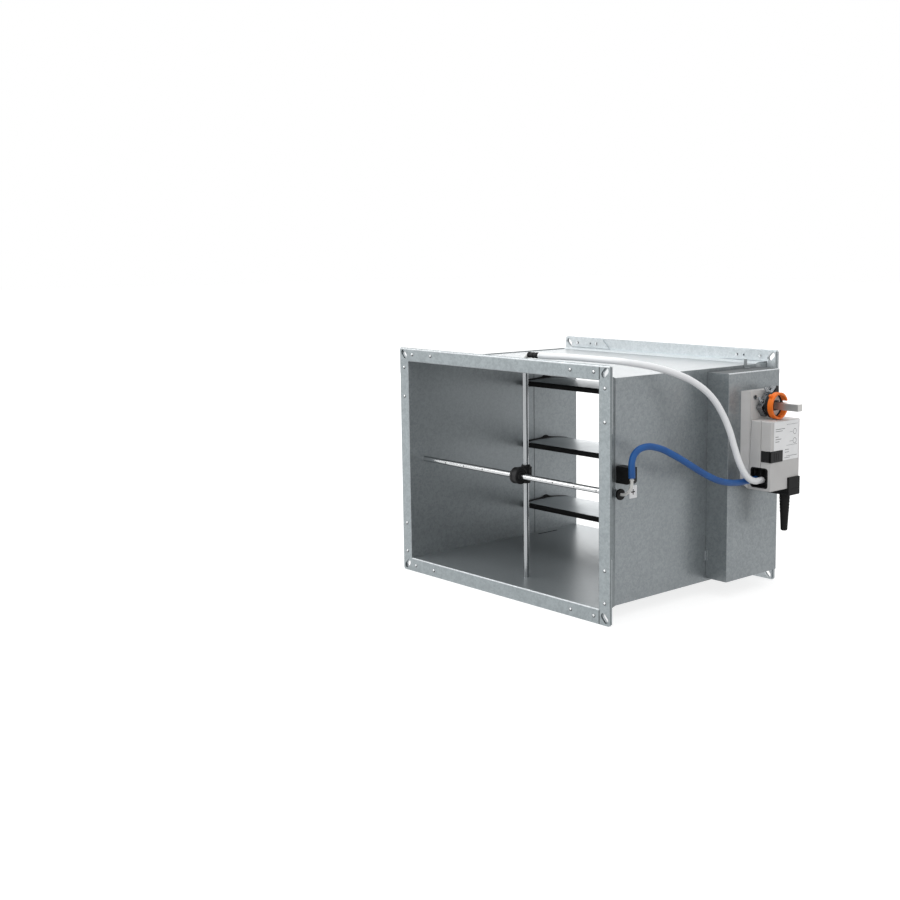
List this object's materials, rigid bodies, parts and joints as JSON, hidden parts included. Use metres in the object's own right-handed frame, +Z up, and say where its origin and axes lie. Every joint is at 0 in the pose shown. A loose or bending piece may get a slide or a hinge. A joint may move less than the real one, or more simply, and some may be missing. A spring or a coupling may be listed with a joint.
{
  "type": "variable air volume damper",
  "caption": "Rectangular duct air volume controller with flanges, pressure measuring cross, linked damper blades, linkage cover and side mounted actuator with hoses.",
  "frame": {"origin": "middle of the inlet opening, in the face of the inlet flange", "axes": "+Y runs with the air from the inlet to the outlet, +Z is up, +X points to the actuator side"},
  "size_m": [0.5315, 0.3526, 0.3455],
  "materials": {
    "galvanised_profile": "bright galvanised sheet with a fine spangle",
    "galvanised_sheet": "galvanised sheet with a fine spangle",
    "bright_steel": "zinc plated",
    "crank_steel": "zinc plated",
    "tube_aluminium": "bright drawn tube",
    "blade_aluminium": "satin",
    "shaft_aluminium": "satin square bar",
    "seal_rubber": "matt",
    "black_plastic": "fine texture",
    "grey_plastic": "fine texture",
    "pale_plastic": "smooth",
    "orange_plastic": "semi gloss",
    "white_label": "printed film",
    "blue_rubber": "smooth hose",
    "white_rubber": "smooth hose",
    "gearbox_plastic": "moulded",
    "board_green": "glass fibre board"
  },
  "bodies": {
    "casing": {"inlet_top_profile": "galvanised_profile", "inlet_bottom_profile": "galvanised_profile", "inlet_left_profile": "galvanised_profile", "inlet_right_profile": "galvanised_profile", "outlet_top_profile": "galvanised_profile", "outlet_bottom_profile": "galvanised_profile", "outlet_left_profile": "galvanised_profile", "outlet_right_profile": "galvanised_profile", "corner_plates": "galvanised_profile", "duct_casing": "galvanised_sheet", "linkage_cover": "galvanised_sheet", "cover_clips": "galvanised_sheet", "flange_rivets": "bright_steel", "tube_end_screws": "bright_steel", "base_screws": "bright_steel", "level_tube": "tube_aluminium", "upright_tube": "tube_aluminium", "cable_boot": "seal_rubber", "wall_grommet": "seal_rubber", "wall_bushes": "black_plastic", "cross_hub": "black_plastic", "port_block": "black_plastic", "roof_elbow": "black_plastic", "port_insert": "black_plastic", "cable_entry": "black_plastic", "actuator_base": "grey_plastic", "actuator_housing": "grey_plastic", "port_pipe": "pale_plastic", "actuator_label": "white_label", "plus_label": "white_label", "blue_hose": "blue_rubber", "white_hose": "white_rubber", "motor_gearbox": "gearbox_plastic", "pressure_sensor": "gearbox_plastic", "circuit_board": "board_green"},
    "top_blade": {"top_blade_skin": "blade_aluminium", "top_blade_seal": "seal_rubber", "top_blade_caps": "black_plastic", "drive_shaft": "shaft_aluminium", "top_crank": "crank_steel", "position_ring": "orange_plastic", "ring_disc": "pale_plastic", "drive_hub": "black_plastic", "clamp_strip": "bright_steel", "clamp_bolt": "bright_steel", "clamp_nuts": "bright_steel"},
    "middle_blade": {"middle_blade_skin": "blade_aluminium", "middle_blade_seal": "seal_rubber", "middle_blade_caps": "black_plastic", "middle_shaft": "shaft_aluminium", "middle_crank": "crank_steel"},
    "bottom_blade": {"bottom_blade_skin": "blade_aluminium", "bottom_blade_seal": "seal_rubber", "bottom_blade_caps": "black_plastic", "bottom_shaft": "shaft_aluminium", "bottom_crank": "crank_steel"},
    "linkage_rod": {"connecting_rod": "crank_steel"},
    "button": {"release_button": "black_plastic"}
  },
  "joints": [
    {"name": "blade_turn", "type": "hinge", "parent": "casing", "child": "top_blade", "pos_m": [0, 0.2785, 0.1], "axis": [-1, 0, 0], "range_deg": [0, 90]},
    {"name": "middle_blade_turn", "type": "hinge", "parent": "casing", "child": "middle_blade", "pos_m": [0, 0.2785, 0], "axis": [-1, 0, 0], "range_deg": [0, 90]},
    {"name": "bottom_blade_turn", "type": "hinge", "parent": "casing", "child": "bottom_blade", "pos_m": [0, 0.2785, -0.1], "axis": [-1, 0, 0], "range_deg": [0, 90]},
    {"name": "rod_pivot", "type": "hinge", "parent": "top_blade", "child": "linkage_rod", "pos_m": [0.2097, 0.25163, 0.07313], "axis": [-1, 0, 0], "range_deg": [-90, 0]},
    {"name": "button_press", "type": "slide", "parent": "casing", "child": "button", "axis": [-1, 0, 0], "range_m": [0, 0.003], "stiffness_N_per_m": 500, "springref_m": -0.002}
  ],
  "couplings": [
    {"joint": "middle_blade_turn", "follows": "blade_turn", "ratio": 1},
    {"joint": "bottom_blade_turn", "follows": "blade_turn", "ratio": 1},
    {"joint": "rod_pivot", "follows": "blade_turn", "ratio": -1}
  ]
}
